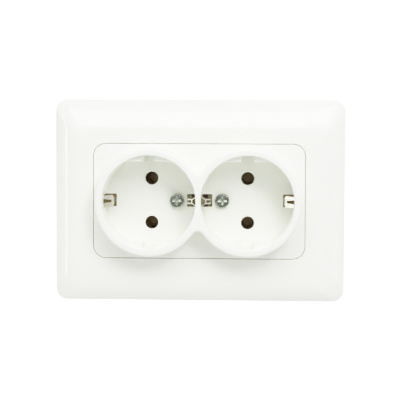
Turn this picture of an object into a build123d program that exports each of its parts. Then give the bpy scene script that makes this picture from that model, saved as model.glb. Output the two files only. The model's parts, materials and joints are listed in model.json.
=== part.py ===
from build123d import *
import os
from math import asin, cos, hypot, sin, sqrt

# Double earthed socket outlet for one round wall box. A cushion-shaped cover frame is held by a
# screwed insert with two round plug wells. Behind the insert are the strap that lies on the wall,
# the contact block inside the wall box, the earth clips, the terminals and two spreading claws.
# Sizes are in millimetres. X points right and Z up. The wall is the plane y = 0, and a height is
# measured from the wall towards the room, which lies at -Y, so depths in the wall box are negative.

# Plug wells
well_radius = 19.5
well_bridge = 2.0
well_depth = 17.5
collar_wall = 3.1
collar_edge_round = 1.2
collar_valley_round = 2.5
well_edge_round = 0.6
pin_pitch = 19.0
pin_hole_radius = 2.75
pin_hole_chamfer = 0.4

# Coding ribs at the top and bottom of each well
rib_height = 2.6
rib_drop = 2.5
rib_notch = 5.4
rib_edge_round = 0.4

# Slots for the earth clips, measured inwards and outwards from the well's wall
clip_slot_width = 5.4
clip_slot_reach = 4.4
clip_slot_depth = 1.7
clip_slot_drop = 7.0

# Insert plate and floor
plate_margin = 1.5
plate_corner = 5.2
plate_thickness = 2.0
plate_edge_chamfer = 0.3
floor_thickness = 1.5
face_height = 10.0

# Cover frame
border_side = 17.1
border_top = 18.9
frame_corner = 5.0
frame_side = 3.5
frame_edge_round = 0.9
frame_wall = 2.2
crown_run = 14.6
land_corner = 9.0
crown_steps = 4
seam_gap = 0.25
window_edge_chamfer = 0.3
collar_clearance = 0.5
skirt_wall = 1.5
skirt_level = 3.2
stiffener_thickness = 1.2
stiffener_x = 24.0
stiffener_z = 13.0

# Mounting strap
strap_width = 104.0
strap_height = 74.0
strap_corner = 6.0
strap_thickness = 1.0
strap_window_margin = 3.6
strap_window_corner = 4.0
box_screw_spacing = 60.0
box_slot_length = 6.6
box_slot_width = 4.2
tongue_drop = 2.5
tongue_bend = 0.9
ear_thickness = 0.8
ear_radius = 1.9

# Earth bar, bridge and clips
bar_width = 9.0
bar_thickness = 0.8
bar_play = 0.1
bridge_margin = 3.3
bridge_half_width = 4.0
bridge_thickness = 1.0
tail_thickness = 0.8
tail_width = 8.0

# Earth clips, with distances inwards from the well's wall and heights from its floor
clip_thickness = 0.6
clip_leg_inset = 1.8
clip_apex_inset = 3.9
clip_apex_height = 6.3
clip_tip_outset = 0.7
clip_tip_height = 9.9
clip_bend = 0.8
clip_shoulder_inset = 3.4
clip_surround = 0.6

# Outer clip: a slim leg and a broad tongue that narrows towards the wall, slit down its middle
outer_leg_width = 1.4
outer_neck_width = 5.0
outer_tip_width = 4.6
outer_fork_inset = 3.0
outer_fork_gap = 0.9
outer_arm_width = 1.45

# Inner clip: two slim rails, joined by a web, that spread into two arms at the wall
inner_leg_width = 2.3
inner_neck_width = 2.2
inner_tip_width = 4.8
inner_fork_inset = 1.7
inner_fork_gap = 1.1
inner_arm_width = 0.55
inner_web = 0.5

# Contact block
lid_flange = 2.0
block_depth = 24.0
block_flange_back = 7.0
block_reach = 17.5
block_flange_reach = 23.6
block_wall = 1.2
block_edge_round = 1.0
chamber_radius = 3.8
chamber_wall = 1.1
shelf_depth = 17.8
fit_gap = 0.15
terminal_window_width = 17.2
terminal_window_height = 6.8
earth_chamber_half_length = 10.4
earth_chamber_half_height = 4.4

# Contact strips
strip_width = 7.0
strip_thickness = 0.8
sleeve_inner_radius = 2.45
sleeve_wall = 0.75
sleeve_gap = 1.0
sleeve_slit = 0.8
sleeve_slit_length = 10.0
sleeve_mouth_chamfer = 0.5

# Terminals
terminal_screw_x = 3.6
terminal_screw_radius = 1.7
terminal_head_radius = 2.7
terminal_head_height = 2.2
terminal_wire_gap = 1.6
terminal_slot_width = 0.8
terminal_slot_depth = 1.0
terminal_screw_tail = 2.0
clamp_length = 15.6
clamp_width = 5.8
clamp_thickness = 1.0
clamp_lip = 0.7

# Cover screws
cover_screw_offset = 10.8
cover_screw_radius = 1.5
cover_head_radius = 2.95
cover_head_height = 2.1
cover_head_round = 0.9
cover_screw_tail = 1.2
recess_width = 0.8
recess_length = 3.4
recess_depth = 1.1

# Rivets
rivet_x = 5.0
rivet_margin = 3.6
bar_rivet_margin = 3.75
rivet_radius = 1.5
rivet_head_radius = 2.3
rivet_head_height = 0.8
bar_rivet_radius = 1.4
hole_clearance = 0.12
thread_clearance = 0.06

# Claws
claw_screw_inset = 5.1
claw_screw_radius = 1.5
claw_screw_length = 21.4
claw_screw_clearance = 0.08
claw_head_radius = 2.6
claw_head_height = 1.8
claw_head_round = 0.7
claw_access_radius = 2.4
claw_thickness = 1.2
claw_pivot_offset = 0.9
claw_pivot_drop = 1.7
claw_trunnion_radius = 0.85
claw_trunnion_clearance = 0.06
claw_lean = 2.6
claw_length = 14.8
claw_toe = 2.0
claw_bend = 1.5
claw_side_play = 0.25
claw_fork_length = 10.0
claw_tooth_depth = 1.1
claw_recess_inner = 3.2
nut_front = 15.5
nut_thickness = 4.0
nut_outer = 2.0
nut_inner = 2.3
nut_side_play = 0.25
nut_edge_chamfer = 0.2

# Heights from the wall
floor_back = strap_thickness + bar_thickness + bar_play
floor_front = floor_back + floor_thickness
rim_height = floor_front + well_depth
plate_back = face_height - plate_thickness
strip_front = strip_thickness - shelf_depth
sleeve_length = -lid_flange - sleeve_gap - strip_front
clamp_front = -shelf_depth - terminal_wire_gap
clamp_back = clamp_front - clamp_thickness
tongue_front = strap_thickness - tongue_drop
pivot_height = -tongue_drop - claw_pivot_drop

# Places in the plan
well_spacing = 2 * well_radius + well_bridge
well_x = well_spacing / 2
rib_reach = well_radius - rib_height
clip_slot_inner = well_radius - clip_slot_reach
clip_leg_radius = well_radius - clip_leg_inset
clip_apex_radius = well_radius - clip_apex_inset
clip_tip_radius = well_radius + clip_tip_outset
pin_z = pin_pitch / 2
collar_radius = well_radius + collar_wall
cover_screw_x = well_x - cover_screw_offset
valley_reach = collar_radius + collar_valley_round
valley_z = sqrt(valley_reach**2 - well_x**2)
valley_edge_x = well_x * collar_valley_round / valley_reach
valley_edge_z = valley_z * collar_radius / valley_reach
plate_width = well_spacing + 2 * (collar_radius + plate_margin)
plate_height = 2 * (collar_radius + plate_margin)
frame_width = plate_width + 2 * border_side
frame_height = plate_height + 2 * border_top
block_radius = hypot(well_x, pin_z) + chamber_radius + block_wall
strap_window_width = 2 * (well_x + pin_hole_radius + strap_window_margin)
strap_window_height = 2 * (pin_z + pin_hole_radius + strap_window_margin)
bar_rivet_x = strap_window_width / 2 + bar_rivet_margin
bridge_half_length = cover_screw_x + bridge_margin
rivet_z = block_flange_reach - rivet_margin
claw_recess_half = pin_z - chamber_radius - chamber_wall
claw_screw_x = block_radius - claw_screw_inset
claw_recess_x = claw_screw_x - claw_recess_inner
tongue_half = claw_recess_half - nut_side_play - claw_side_play
pivot_x = claw_screw_x + claw_pivot_offset
claw_half = tongue_half - ear_thickness - claw_side_play
claw_cheek_inner = claw_screw_radius + claw_side_play
clip_slot_outer = well_radius + clip_slot_depth
sleeve_radius = sleeve_inner_radius + sleeve_wall

# Curve of the frame's border: an arc that is level at the land and meets the side at crown_tilt
crown_rise = face_height - frame_side
crown_radius = (crown_run**2 + crown_rise**2) / (2 * crown_rise)
crown_tilt = asin(crown_run / crown_radius)

# Vertical cut through the wells' axes: local x is right, local y is the height from the wall
section_plane = Plane(origin=(0, 0, 0), x_dir=(1, 0, 0), z_dir=(0, 0, -1))
# Vertical cut from front to back in the middle: local x is up, local y is the height from the wall
upright_plane = Plane(origin=(0, 0, 0), x_dir=(0, 0, 1), z_dir=(1, 0, 0))

tolerance = 1e-3


def wall_plane(height):
    """Plane parallel to the wall at a height, with local x to the right and local y up."""
    return Plane.XZ.offset(height)


def edges_at(part, height):
    """Edges of a part that lie wholly at one height from the wall."""
    return part.edges().filter_by_position(Axis.Y, -height - tolerance, -height + tolerance)


def round_edges(part, height, radius):
    """Round edges of one radius at one height from the wall."""
    circles = edges_at(part, height).filter_by(GeomType.CIRCLE)
    return circles.filter_by(lambda edge: abs(edge.radius - radius) < tolerance)


def crown_outline(share, inset):
    """Outline of the frame's border, from its side (share 0) to its land (share 1)."""
    tilt = crown_tilt * (1 - share)
    inward = crown_run - crown_radius * sin(tilt) + inset
    level = face_height - crown_radius * (1 - cos(tilt)) - inset
    corner = frame_corner + (land_corner - frame_corner) * share - inset
    with BuildSketch(wall_plane(level)) as outline:
        RectangleRounded(frame_width - 2 * inward, frame_height - 2 * inward, corner)
    return outline.sketch


def block_outline(level, reach):
    """Round outline of the contact block with flats above and below and a recess for each claw."""
    recess_length = block_radius - claw_recess_x
    with BuildSketch(wall_plane(level)) as outline:
        Circle(block_radius)
        Rectangle(2 * block_radius, 2 * reach, mode=Mode.INTERSECT)
        with Locations((claw_recess_x + recess_length, 0), (-claw_recess_x - recess_length, 0)):
            Rectangle(2 * recess_length, 2 * claw_recess_half, mode=Mode.SUBTRACT)
    return outline.sketch


def cross_screw(x, z, seat, head_radius, head_height, head_round, radius, length):
    """Pan-head screw along Y with a cross recess; its head stands on the seat height."""
    axis_plane = Plane(origin=(x, 0, z), x_dir=(1, 0, 0), z_dir=(0, 0, -1))
    top = seat + head_height
    with BuildPart() as screw:
        with BuildSketch(axis_plane):
            with Locations((0, seat)):
                Rectangle(head_radius, head_height, align=(Align.MIN, Align.MIN))
            with Locations((0, seat - length)):
                Rectangle(radius, length, align=(Align.MIN, Align.MIN))
        revolve(axis=Axis((x, 0, z), (0, -1, 0)))
        fillet(edges_at(screw, top), head_round)
        with BuildSketch(wall_plane(top)):
            with Locations((x, z)):
                Rectangle(recess_length, recess_width)
                Rectangle(recess_width, recess_length)
        extrude(amount=-recess_depth, mode=Mode.SUBTRACT)
    return screw.part


def terminal_screw(x, z):
    """Slotted screw driven from the back through a clamp plate into a contact strip."""
    head_top = clamp_back - terminal_head_height
    tail = strip_front + terminal_screw_tail
    with BuildPart() as screw:
        with BuildSketch(wall_plane(head_top)):
            with Locations((x, z)):
                Circle(terminal_head_radius)
        extrude(amount=terminal_head_height)
        with BuildSketch(wall_plane(clamp_back)):
            with Locations((x, z)):
                Circle(terminal_screw_radius)
        extrude(amount=tail - clamp_back)
        with BuildSketch(wall_plane(head_top)):
            with Locations((x, z)):
                Rectangle(2 * terminal_head_radius, terminal_slot_width)
        extrude(amount=terminal_slot_depth, mode=Mode.SUBTRACT)
    return screw.part


def terminal_clamp(z):
    """Saddle plate under two terminal screws, its ends turned down towards the wire."""
    with BuildPart() as clamp:
        with BuildSketch(wall_plane(clamp_back)):
            with Locations((0, z)):
                RectangleRounded(clamp_length, clamp_width, clamp_thickness)
        extrude(amount=clamp_thickness)
        with BuildSketch(wall_plane(clamp_front)):
            with Locations((0, z)):
                with GridLocations(clamp_length - 2 * clamp_thickness, 0, 2, 1):
                    Rectangle(clamp_thickness, clamp_width - 2 * clamp_thickness)
        extrude(amount=clamp_lip)
        with BuildSketch(wall_plane(clamp_back)):
            with Locations((0, z)):
                with GridLocations(2 * terminal_screw_x, 0, 2, 1):
                    Circle(terminal_screw_radius + hole_clearance)
        extrude(amount=clamp_thickness, mode=Mode.SUBTRACT)
    return clamp.part


def contact_strip(z):
    """Brass strip with a slit sleeve under each pin hole and two tapped holes in its middle."""
    with BuildPart() as strip:
        with BuildSketch(wall_plane(-shelf_depth)):
            with Locations((0, z)):
                SlotOverall(well_spacing + strip_width, strip_width)
                with GridLocations(2 * terminal_screw_x, 0, 2, 1):
                    Circle(terminal_screw_radius + thread_clearance, mode=Mode.SUBTRACT)
        extrude(amount=strip_thickness)
        with BuildSketch(wall_plane(strip_front)):
            with Locations((0, z)):
                with GridLocations(well_spacing, 0, 2, 1):
                    Circle(sleeve_radius)
                    Circle(sleeve_inner_radius, mode=Mode.SUBTRACT)
        extrude(amount=sleeve_length)
        mouth = strip_front + sleeve_length
        chamfer(round_edges(strip, mouth, sleeve_inner_radius), sleeve_mouth_chamfer)
        with BuildSketch(wall_plane(mouth)):
            with Locations((0, z)):
                with GridLocations(well_spacing, 0, 2, 1):
                    Rectangle(2 * sleeve_radius, sleeve_slit)
                    Rectangle(sleeve_slit, 2 * sleeve_radius)
        extrude(amount=-sleeve_slit_length, mode=Mode.SUBTRACT)
    return strip.part


def forked_clip(
    foot_x, foot_height, leg_width, neck_width, tip_width, fork_inset, fork_gap, arm_width
):
    """Earth clip of the right well: a leg that leans in, then a forked lead-in back to the wall.

    foot_x is where the strip is rooted, and shows on which side of the well it stands. The lead-in
    widens from the leg to neck_width at its shoulders, keeps it up to the fork, and is tip_width
    wide at the wall, in two arms that stand fork_gap apart where they part.
    """
    side = 1 if foot_x > well_x else -1
    apex_level = floor_front + clip_apex_height
    tip_level = floor_front + clip_tip_height
    wall_x = well_x + side * well_radius
    leg_x = well_x + side * clip_leg_radius
    apex_x = well_x + side * clip_apex_radius
    nose_x = apex_x - side * clip_thickness
    shoulder_x = wall_x - side * clip_shoulder_inset
    tip_x = well_x + side * clip_tip_radius
    fork_x = wall_x - side * fork_inset
    end_x = tip_x + side * clip_thickness
    blank_width = max(leg_width, neck_width, tip_width)
    with BuildPart() as clip:
        with BuildSketch(section_plane):
            with BuildLine():
                FilletPolyline(
                    (foot_x, foot_height),
                    (leg_x, foot_height),
                    (leg_x, floor_front),
                    (apex_x, apex_level),
                    (tip_x, tip_level),
                    radius=clip_bend,
                )
            trace(line_width=clip_thickness)
        extrude(amount=blank_width / 2, both=True)
        # The leg is cut to its width up to the bend, and the lead-in to its outline from there
        with BuildSketch(wall_plane(apex_level - clip_bend)):
            with Locations(((well_x + tip_x) / 2, 0)):
                Rectangle(2 * clip_tip_radius, 2 * clip_slot_width)
                Rectangle(2 * clip_tip_radius, leg_width, mode=Mode.SUBTRACT)
        extrude(amount=-clip_tip_height, mode=Mode.SUBTRACT)
        with BuildSketch(wall_plane(apex_level - clip_bend)):
            with Locations(((well_x + tip_x) / 2, 0)):
                Rectangle(2 * clip_tip_radius, 2 * clip_slot_width)
            with BuildLine():
                Polyline(
                    (well_x, leg_width / 2),
                    (nose_x, leg_width / 2),
                    (shoulder_x, neck_width / 2),
                    (fork_x, neck_width / 2),
                    (wall_x, tip_width / 2),
                    (end_x, tip_width / 2),
                    (end_x, -tip_width / 2),
                    (wall_x, -tip_width / 2),
                    (fork_x, -neck_width / 2),
                    (shoulder_x, -neck_width / 2),
                    (nose_x, -leg_width / 2),
                    (well_x, -leg_width / 2),
                    close=True,
                )
            make_face(mode=Mode.SUBTRACT)
            with BuildLine():
                Polyline(
                    (fork_x, fork_gap / 2),
                    (wall_x, tip_width / 2 - arm_width),
                    (end_x, tip_width / 2 - arm_width),
                    (end_x, arm_width - tip_width / 2),
                    (wall_x, arm_width - tip_width / 2),
                    (fork_x, -fork_gap / 2),
                    close=True,
                )
            make_face()
        extrude(amount=clip_tip_height, mode=Mode.SUBTRACT)
    return clip.part


# Cover frame
with BuildPart() as frame_hollow:
    loft([crown_outline(step / crown_steps, frame_wall) for step in range(crown_steps + 1)])
    extrude(crown_outline(0, frame_wall), amount=-frame_side)
    with BuildSketch(wall_plane(skirt_level)):
        with GridLocations(2 * stiffener_x, 0, 2, 1):
            Rectangle(stiffener_thickness, frame_height)
        with GridLocations(0, 2 * stiffener_z, 1, 2):
            Rectangle(frame_width, stiffener_thickness)
    extrude(amount=face_height, mode=Mode.SUBTRACT)

window_width = plate_width + 2 * seam_gap
window_height = plate_height + 2 * seam_gap
window_corner = plate_corner + seam_gap
ledge_width = plate_margin + seam_gap - collar_clearance

with BuildPart() as cover_frame:
    loft([crown_outline(step / crown_steps, 0) for step in range(crown_steps + 1)])
    extrude(crown_outline(0, 0), amount=-frame_side)
    fillet(edges_at(cover_frame, frame_side), frame_edge_round)
    add(frame_hollow.part, mode=Mode.SUBTRACT)
    # Skirt round the window, whose top is the ledge under the insert's plate
    with BuildSketch(wall_plane(skirt_level)):
        skirt_width = window_width + 2 * skirt_wall
        skirt_height = window_height + 2 * skirt_wall
        RectangleRounded(skirt_width, skirt_height, window_corner + skirt_wall)
    extrude(amount=face_height - frame_wall / 2 - skirt_level)
    with BuildSketch(wall_plane(plate_back)):
        RectangleRounded(window_width, window_height, window_corner)
    extrude(amount=2 * plate_thickness, mode=Mode.SUBTRACT)
    with BuildSketch(wall_plane(0)):
        opening_width = window_width - 2 * ledge_width
        opening_height = window_height - 2 * ledge_width
        RectangleRounded(opening_width, opening_height, window_corner - ledge_width)
    extrude(amount=face_height, mode=Mode.SUBTRACT)
    land = cover_frame.faces().filter_by(Plane.XZ).sort_by(Axis.Y)[0]
    chamfer(land.inner_wires()[0].edges(), window_edge_chamfer)

# Socket insert
with BuildPart() as socket_insert:
    with BuildSketch(wall_plane(plate_back)):
        RectangleRounded(plate_width, plate_height, plate_corner)
    extrude(amount=plate_thickness)
    chamfer(edges_at(socket_insert, face_height), plate_edge_chamfer)
    # Two collars that run into each other, with a rounded valley between them
    with BuildSketch(wall_plane(floor_back)):
        with GridLocations(well_spacing, 0, 2, 1):
            Circle(collar_radius)
        Rectangle(2 * valley_edge_x, 2 * valley_edge_z)
        with GridLocations(0, 2 * valley_z, 1, 2):
            Circle(collar_valley_round, mode=Mode.SUBTRACT)
    extrude(amount=rim_height - floor_back)
    fillet(edges_at(socket_insert, rim_height), collar_edge_round)
    with BuildSketch(wall_plane(floor_front)):
        with GridLocations(well_spacing, 0, 2, 1):
            Circle(well_radius)
    extrude(amount=well_depth, mode=Mode.SUBTRACT)
    fillet(round_edges(socket_insert, rim_height, well_radius), well_edge_round)
    # Coding ribs, each split by a notch
    with BuildSketch(wall_plane(floor_front)):
        with GridLocations(well_spacing, 0, 2, 1):
            Circle(well_radius + collar_wall / 2)
            Rectangle(2 * collar_radius, 2 * rib_reach, mode=Mode.SUBTRACT)
            Rectangle(rib_notch, 2 * collar_radius, mode=Mode.SUBTRACT)
    extrude(amount=well_depth - rib_drop)
    rib_edges = edges_at(socket_insert, rim_height - rib_drop).filter_by(GeomType.LINE)
    fillet(rib_edges.filter_by(Axis.X), rib_edge_round)
    # Pin holes and cover screw holes
    with BuildSketch(wall_plane(floor_back)):
        with GridLocations(well_spacing, pin_pitch, 2, 2):
            Circle(pin_hole_radius)
        with GridLocations(2 * cover_screw_x, 0, 2, 1):
            Circle(cover_screw_radius + hole_clearance)
    extrude(amount=floor_thickness, mode=Mode.SUBTRACT)
    chamfer(round_edges(socket_insert, floor_front, pin_hole_radius), pin_hole_chamfer)
    # Slots for the earth clips: one at each outer wall and one through the wall between the wells
    outer_slot = clip_slot_outer - clip_slot_inner
    outer_slot_x = well_x + clip_slot_inner + outer_slot / 2
    with BuildSketch(wall_plane(floor_back)):
        with GridLocations(2 * outer_slot_x, 0, 2, 1):
            Rectangle(outer_slot, clip_slot_width)
        Rectangle(2 * (well_x - clip_slot_inner), clip_slot_width)
    extrude(amount=rim_height - clip_slot_drop - floor_back, mode=Mode.SUBTRACT)

cover_screw_length = floor_front + cover_screw_tail
cover_screw_solids = [
    cross_screw(
        side * cover_screw_x,
        0,
        floor_front,
        cover_head_radius,
        cover_head_height,
        cover_head_round,
        cover_screw_radius,
        cover_screw_length,
    )
    for side in (-1, 1)
]
with BuildPart() as cover_screws:
    add(cover_screw_solids)

# Mounting strap
with BuildPart() as mounting_strap:
    with BuildSketch(wall_plane(0)):
        RectangleRounded(strap_width, strap_height, strap_corner)
        RectangleRounded(
            strap_window_width,
            strap_window_height,
            strap_window_corner,
            mode=Mode.SUBTRACT,
        )
        with GridLocations(0, box_screw_spacing, 1, 2):
            SlotOverall(box_slot_length, box_slot_width, rotation=90, mode=Mode.SUBTRACT)
        with GridLocations(2 * rivet_x, 2 * rivet_z, 2, 2):
            Circle(rivet_radius + hole_clearance, mode=Mode.SUBTRACT)
        with GridLocations(2 * bar_rivet_x, 0, 2, 1):
            Circle(bar_rivet_radius + hole_clearance, mode=Mode.SUBTRACT)
    extrude(amount=strap_thickness)
    # Tongue set back into the box, which carries a claw screw and two ears
    bend_x = strap_window_width / 2 - strap_thickness / 2
    with BuildSketch(section_plane):
        with BuildLine():
            FilletPolyline(
                (bend_x + 2 * strap_thickness, strap_thickness / 2),
                (bend_x, strap_thickness / 2),
                (bend_x, strap_thickness / 2 - tongue_drop),
                (claw_recess_x + nut_side_play, strap_thickness / 2 - tongue_drop),
                radius=tongue_bend,
            )
        trace(line_width=strap_thickness)
    extrude(amount=tongue_half, both=True)
    with BuildSketch(wall_plane(tongue_front)):
        with Locations((claw_screw_x, 0)):
            Circle(claw_screw_radius + claw_screw_clearance)
    extrude(amount=-strap_thickness, mode=Mode.SUBTRACT)
    ear_top = strap_thickness / 2 - tongue_drop
    with BuildSketch(section_plane.offset(tongue_half - ear_thickness)):
        with Locations((pivot_x, pivot_height)):
            Circle(ear_radius)
            Rectangle(2 * ear_radius, ear_top - pivot_height, align=(Align.CENTER, Align.MIN))
            Circle(claw_trunnion_radius + claw_trunnion_clearance, mode=Mode.SUBTRACT)
    extrude(amount=ear_thickness)
    mirror(about=Plane.XY)
    mirror(about=Plane.YZ)

# Earth bar with the outer clips
bar_end_x = well_x + clip_leg_radius
outer_clip = forked_clip(
    bar_end_x - clip_bend - clip_thickness,
    strap_thickness + clip_thickness / 2,
    outer_leg_width,
    outer_neck_width,
    outer_tip_width,
    outer_fork_inset,
    outer_fork_gap,
    outer_arm_width,
)
with BuildPart() as earth_bar:
    with BuildSketch(wall_plane(strap_thickness)):
        Rectangle(2 * (well_x + clip_slot_inner - clip_surround), bar_width)
        Rectangle(2 * (bar_end_x - clip_bend - clip_thickness), outer_leg_width)
        with GridLocations(2 * cover_screw_x, 0, 2, 1):
            Circle(cover_screw_radius + hole_clearance, mode=Mode.SUBTRACT)
        with GridLocations(2 * claw_screw_x, 0, 2, 1):
            Circle(claw_access_radius, mode=Mode.SUBTRACT)
        with GridLocations(2 * bar_rivet_x, 0, 2, 1):
            Circle(bar_rivet_radius + hole_clearance, mode=Mode.SUBTRACT)
        Rectangle(2 * (well_x - clip_slot_inner), clip_slot_width, mode=Mode.SUBTRACT)
    extrude(amount=bar_thickness)
    add(outer_clip)
    mirror(about=Plane.YZ)

# Earth bridge with the inner clips and the terminal tail
inner_foot_x = well_x - clip_leg_radius - clip_bend - clip_thickness
inner_clip = forked_clip(
    inner_foot_x,
    bridge_thickness - clip_thickness / 2,
    inner_leg_width,
    inner_neck_width,
    inner_tip_width,
    inner_fork_inset,
    inner_fork_gap,
    inner_arm_width,
)
tail_z = bridge_half_width - tail_thickness / 2
with BuildPart() as earth_bridge:
    with BuildSketch(wall_plane(0)):
        Rectangle(2 * bridge_half_length, 2 * bridge_half_width)
        with GridLocations(2 * cover_screw_x, 0, 2, 1):
            Circle(cover_screw_radius + thread_clearance, mode=Mode.SUBTRACT)
    extrude(amount=bridge_thickness)
    add(inner_clip)
    mirror(about=Plane.YZ)
    with BuildSketch(upright_plane):
        with BuildLine():
            FilletPolyline(
                (0, bridge_thickness / 2),
                (-tail_z, bridge_thickness / 2),
                (-tail_z, strip_front - strip_thickness / 2),
                (tail_z, strip_front - strip_thickness / 2),
                radius=tail_thickness,
            )
        trace(line_width=tail_thickness)
    extrude(amount=tail_width / 2, both=True)
    with BuildSketch(wall_plane(-shelf_depth)):
        Rectangle(2 * (earth_chamber_half_length - fit_gap), clamp_width)
    extrude(amount=strip_thickness)
    with BuildSketch(wall_plane(-shelf_depth)):
        with GridLocations(2 * terminal_screw_x, 0, 2, 1):
            Circle(terminal_screw_radius + thread_clearance)
    extrude(amount=strip_thickness, mode=Mode.SUBTRACT)
    # Reliefs beside the clips' roots, and the slots between the clips' rails
    relief_end_x = well_x - clip_leg_radius + clip_surround
    with BuildSketch(wall_plane(0)):
        with GridLocations(inner_foot_x + relief_end_x, 0, 2, 1):
            Rectangle(relief_end_x - inner_foot_x, clip_slot_width)
            Rectangle(relief_end_x - inner_foot_x, inner_leg_width, mode=Mode.SUBTRACT)
    extrude(amount=bridge_thickness, mode=Mode.SUBTRACT)
    rail_start_x = well_x - well_radius + inner_fork_inset + inner_web
    rail_end_x = well_x - clip_apex_radius
    with BuildSketch(wall_plane(floor_front + clip_apex_height - clip_bend)):
        with GridLocations(rail_start_x + rail_end_x, 0, 2, 1):
            Rectangle(rail_end_x - rail_start_x, inner_fork_gap)
    extrude(amount=clip_tip_height, mode=Mode.SUBTRACT)

# Contact lid, whose raised middle fills the strap's window
with BuildPart() as contact_lid:
    extrude(block_outline(-lid_flange, block_flange_reach), amount=lid_flange)
    with BuildSketch(wall_plane(0)):
        boss_width = strap_window_width - 2 * fit_gap
        boss_height = strap_window_height - 2 * fit_gap
        RectangleRounded(boss_width, boss_height, strap_window_corner)
        with GridLocations(2 * (claw_recess_x + block_radius), 0, 2, 1):
            Rectangle(2 * block_radius, 2 * claw_recess_half, mode=Mode.SUBTRACT)
    extrude(amount=strap_thickness)
    with BuildSketch(wall_plane(strap_thickness)):
        with GridLocations(well_spacing, pin_pitch, 2, 2):
            Circle(pin_hole_radius)
    extrude(amount=-strap_thickness - lid_flange, mode=Mode.SUBTRACT)
    chamfer(round_edges(contact_lid, strap_thickness, pin_hole_radius), pin_hole_chamfer)
    # Seat of the earth bridge, with room for its tail and the ends of the cover screws
    with BuildSketch(wall_plane(0)):
        Rectangle(2 * (bridge_half_length + fit_gap), 2 * (bridge_half_width + fit_gap))
    extrude(amount=strap_thickness, mode=Mode.SUBTRACT)
    with BuildSketch(wall_plane(0)):
        with Locations((0, -tail_z)):
            Rectangle(tail_width + 2 * fit_gap, 2 * tail_thickness + 2 * fit_gap)
        with GridLocations(2 * cover_screw_x, 0, 2, 1):
            Circle(cover_screw_radius + hole_clearance)
    extrude(amount=-lid_flange, mode=Mode.SUBTRACT)
    with BuildSketch(wall_plane(0)):
        with GridLocations(2 * rivet_x, 2 * rivet_z, 2, 2):
            Circle(rivet_radius + hole_clearance)
    extrude(amount=-lid_flange, mode=Mode.SUBTRACT)

# Contact base
with BuildPart() as contact_base:
    extrude(block_outline(-block_depth, block_reach), amount=block_depth - lid_flange)
    fillet(edges_at(contact_base, -block_depth), block_edge_round)
    extrude(block_outline(-block_flange_back, block_flange_reach), amount=block_flange_back - lid_flange)
    with BuildSketch(wall_plane(-shelf_depth)):
        with GridLocations(0, pin_pitch, 1, 2):
            SlotOverall(well_spacing + 2 * chamber_radius, 2 * chamber_radius)
        Rectangle(2 * earth_chamber_half_length, 2 * earth_chamber_half_height)
    extrude(amount=shelf_depth - lid_flange, mode=Mode.SUBTRACT)
    with BuildSketch(wall_plane(-block_depth)):
        with GridLocations(0, pin_z, 1, 3):
            Rectangle(terminal_window_width, terminal_window_height)
    extrude(amount=block_depth - shelf_depth, mode=Mode.SUBTRACT)
    with BuildSketch(wall_plane(-block_flange_back)):
        with GridLocations(2 * rivet_x, 2 * rivet_z, 2, 2):
            Circle(rivet_radius + hole_clearance)
    extrude(amount=block_flange_back - lid_flange, mode=Mode.SUBTRACT)

with BuildPart() as line_contact_strip:
    add(contact_strip(pin_z))

with BuildPart() as neutral_contact_strip:
    add(contact_strip(-pin_z))

# Terminals
terminal_rows = {"line": pin_z, "earth": 0, "neutral": -pin_z}
terminal_pieces = {}
for row, row_z in terminal_rows.items():
    row_screws = [terminal_screw(side * terminal_screw_x, row_z) for side in (-1, 1)]
    row_clamp = terminal_clamp(row_z)
    with BuildPart() as terminal_screws:
        add(row_screws)
    with BuildPart() as clamp_plate:
        add(row_clamp)
    terminal_pieces[f"{row}_terminal_screws"] = terminal_screws.part
    terminal_pieces[f"{row}_clamp_plate"] = clamp_plate.part

# Rivets that hold strap, lid and base together
with BuildPart() as block_rivets:
    with BuildSketch(wall_plane(-block_flange_back)):
        with GridLocations(2 * rivet_x, 2 * rivet_z, 2, 2):
            Circle(rivet_radius)
    extrude(amount=block_flange_back + strap_thickness)
    with BuildSketch(wall_plane(strap_thickness), wall_plane(-block_flange_back - rivet_head_height)):
        with GridLocations(2 * rivet_x, 2 * rivet_z, 2, 2):
            Circle(rivet_head_radius)
    extrude(amount=rivet_head_height)

# Flush rivets that hold the earth bar on the strap
with BuildPart() as bar_rivets:
    with BuildSketch(wall_plane(0)):
        with GridLocations(2 * bar_rivet_x, 0, 2, 1):
            Circle(bar_rivet_radius)
    extrude(amount=strap_thickness + bar_thickness)

# Claws, built on the right and mirrored to the left
knee_x = pivot_x + claw_lean
knee_height = pivot_height - claw_length
with BuildPart() as claw_right:
    with BuildSketch(section_plane):
        with BuildLine():
            FilletPolyline(
                (pivot_x, pivot_height),
                (knee_x, knee_height),
                (knee_x + claw_toe, knee_height - claw_toe),
                radius=claw_bend,
            )
        trace(line_width=claw_thickness)
    extrude(amount=claw_half, both=True)
    with BuildSketch(wall_plane(pivot_height - claw_fork_length)):
        with Locations((knee_x, 0)):
            Rectangle(4 * claw_lean, 2 * claw_cheek_inner)
    extrude(amount=2 * claw_fork_length, mode=Mode.SUBTRACT)
    # Teeth: notches across the toe
    with BuildSketch(wall_plane(knee_height - 2 * claw_toe)):
        with Locations((knee_x + claw_toe + claw_thickness, 0)):
            with GridLocations(0, claw_half, 1, 2):
                Rectangle(2 * (claw_thickness + claw_tooth_depth), claw_half / 3)
    extrude(amount=2 * claw_toe, mode=Mode.SUBTRACT)
    with BuildSketch(section_plane.offset(claw_cheek_inner)):
        with Locations((pivot_x, pivot_height)):
            Circle(claw_trunnion_radius)
    extrude(amount=tongue_half - claw_cheek_inner)
    mirror(about=Plane.XY)

with BuildPart() as claw_left:
    mirror(claw_right.part, about=Plane.YZ)

claw_screw_solid = cross_screw(
    claw_screw_x,
    0,
    tongue_front,
    claw_head_radius,
    claw_head_height,
    claw_head_round,
    claw_screw_radius,
    claw_screw_length,
)
with BuildPart() as claw_screw_right:
    add(claw_screw_solid)

with BuildPart() as claw_screw_left:
    mirror(claw_screw_right.part, about=Plane.YZ)

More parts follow.
